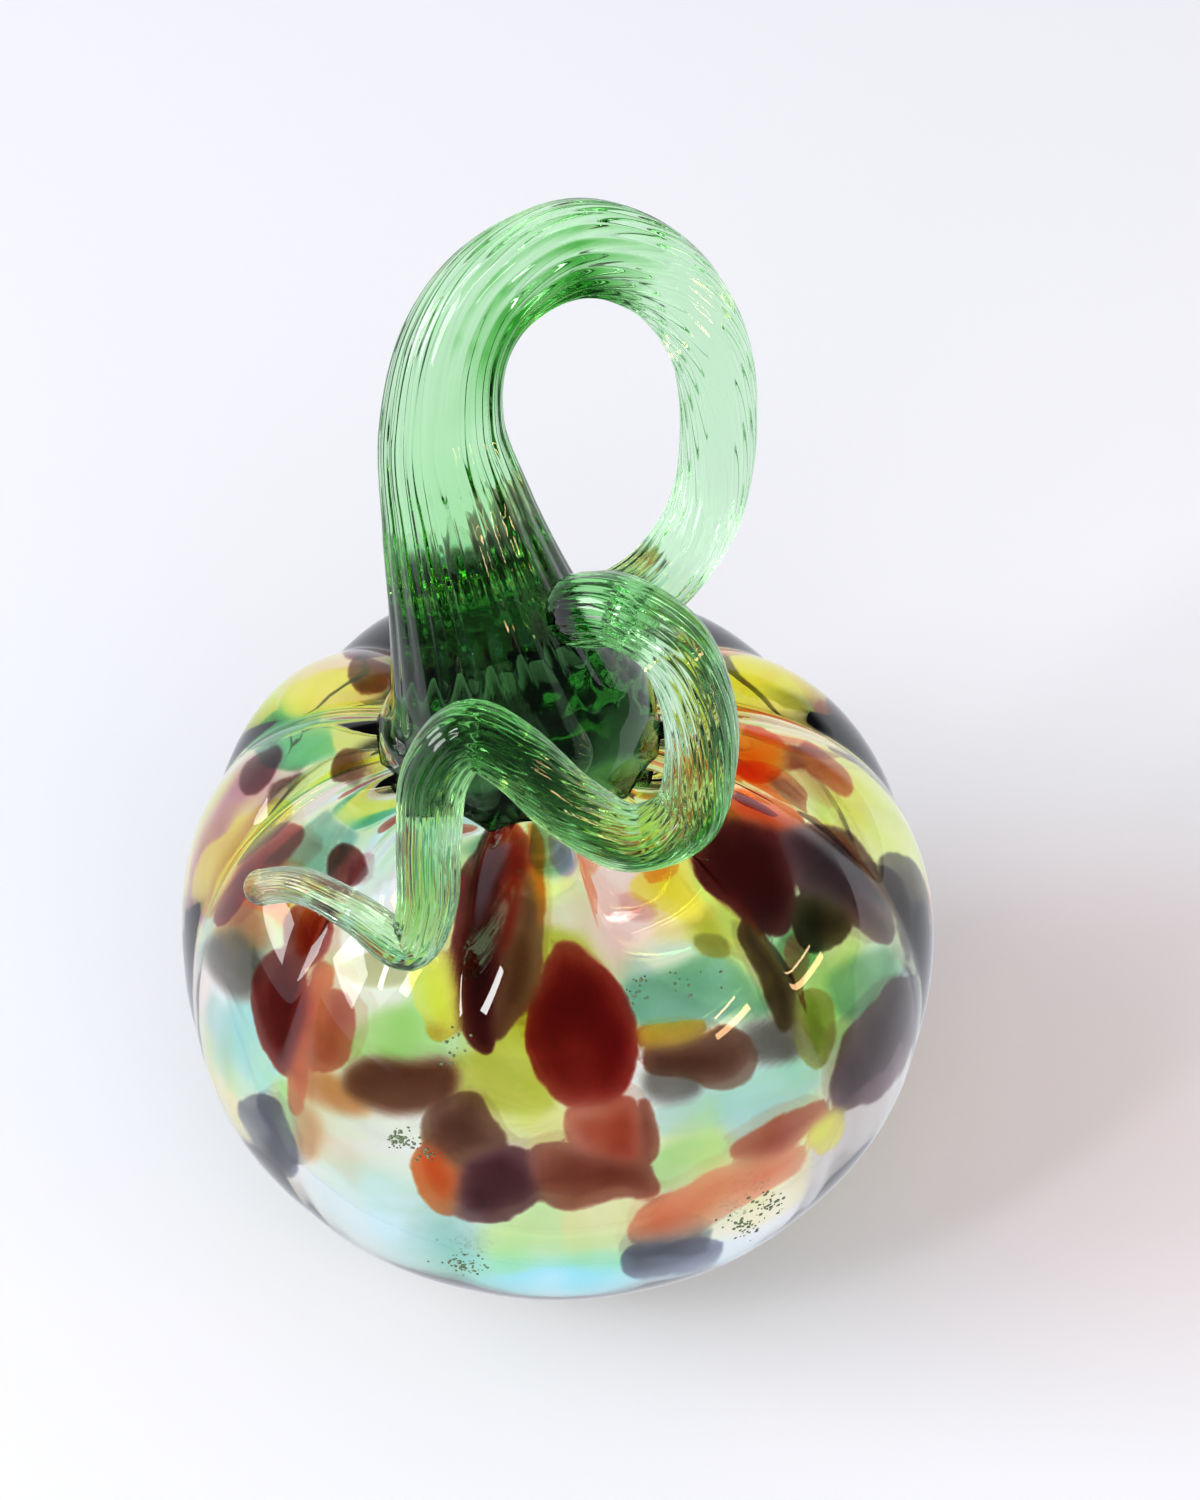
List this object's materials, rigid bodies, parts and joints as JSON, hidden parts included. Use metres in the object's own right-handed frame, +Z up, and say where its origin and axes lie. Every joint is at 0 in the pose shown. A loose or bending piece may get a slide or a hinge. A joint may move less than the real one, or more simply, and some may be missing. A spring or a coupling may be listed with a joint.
{
  "type": "glass pumpkin",
  "caption": "Blown glass pumpkin ornament: a hollow lobed body cased over coloured glass chips, with a ribbed green stem pulled into a loop, a curl and a thin tail.",
  "frame": {"origin": "middle of the flat base", "axes": "+Z up through the neck, -Y to the front where the curl hangs, +X to the right"},
  "size_m": [0.095, 0.095, 0.1386],
  "materials": {
    "amber_glass": "transparent coloured glass, fused between clear layers",
    "aqua_glass": "transparent coloured glass, fused between clear layers",
    "brown_glass": "transparent coloured glass, fused between clear layers",
    "clear_glass": "clear blown glass, fire polished",
    "emerald_glass": "transparent coloured glass, fused between clear layers",
    "green_glass": "transparent green glass, ribbed and twisted, fire polished",
    "lime_glass": "transparent coloured glass, fused between clear layers",
    "maroon_glass": "transparent coloured glass, fused between clear layers",
    "navy_glass": "transparent coloured glass, fused between clear layers",
    "olive_glass": "transparent coloured glass, fused between clear layers",
    "orange_glass": "transparent coloured glass, fused between clear layers",
    "plum_glass": "transparent coloured glass, fused between clear layers",
    "rose_glass": "transparent coloured glass, fused between clear layers",
    "ruby_glass": "transparent coloured glass, fused between clear layers",
    "salmon_glass": "transparent coloured glass, fused between clear layers",
    "sky_glass": "transparent coloured glass, fused between clear layers",
    "turquoise_glass": "transparent coloured glass, fused between clear layers",
    "yellow_glass": "transparent coloured glass, fused between clear layers"
  },
  "bodies": {
    "root": {"chip_amber_1": "amber_glass", "chip_amber_2": "amber_glass", "chip_aqua_1": "aqua_glass", "chip_aqua_2": "aqua_glass", "chip_aqua_3": "aqua_glass", "chip_aqua_4": "aqua_glass", "chip_brown_1": "brown_glass", "chip_brown_2": "brown_glass", "chip_brown_3": "brown_glass", "chip_brown_4": "brown_glass", "chip_brown_5": "brown_glass", "chip_emerald_1": "emerald_glass", "chip_lime_1": "lime_glass", "chip_lime_2": "lime_glass", "chip_lime_3": "lime_glass", "chip_lime_4": "lime_glass", "chip_lime_5": "lime_glass", "chip_maroon_1": "maroon_glass", "chip_maroon_2": "maroon_glass", "chip_maroon_3": "maroon_glass", "chip_maroon_4": "maroon_glass", "chip_maroon_5": "maroon_glass", "chip_navy_1": "navy_glass", "chip_navy_2": "navy_glass", "chip_navy_3": "navy_glass", "chip_navy_4": "navy_glass", "chip_olive_1": "olive_glass", "chip_olive_2": "olive_glass", "chip_olive_3": "olive_glass", "chip_orange_1": "orange_glass", "chip_orange_2": "orange_glass", "chip_orange_3": "orange_glass", "chip_plum_1": "plum_glass", "chip_plum_2": "plum_glass", "chip_plum_3": "plum_glass", "chip_plum_4": "plum_glass", "chip_plum_5": "plum_glass", "chip_rose_1": "rose_glass", "chip_ruby_1": "ruby_glass", "chip_ruby_2": "ruby_glass", "chip_ruby_3": "ruby_glass", "chip_ruby_4": "ruby_glass", "chip_ruby_5": "ruby_glass", "chip_ruby_6": "ruby_glass", "chip_salmon_1": "salmon_glass", "chip_salmon_2": "salmon_glass", "chip_salmon_3": "salmon_glass", "chip_sky_1": "sky_glass", "chip_sky_2": "sky_glass", "chip_sky_3": "sky_glass", "chip_turquoise_1": "turquoise_glass", "chip_turquoise_2": "turquoise_glass", "chip_yellow_1": "yellow_glass", "chip_yellow_2": "yellow_glass", "chip_yellow_3": "yellow_glass", "inner_bubble": "clear_glass", "outer_casing": "clear_glass", "stem": "green_glass"}
  },
  "joints": []
}
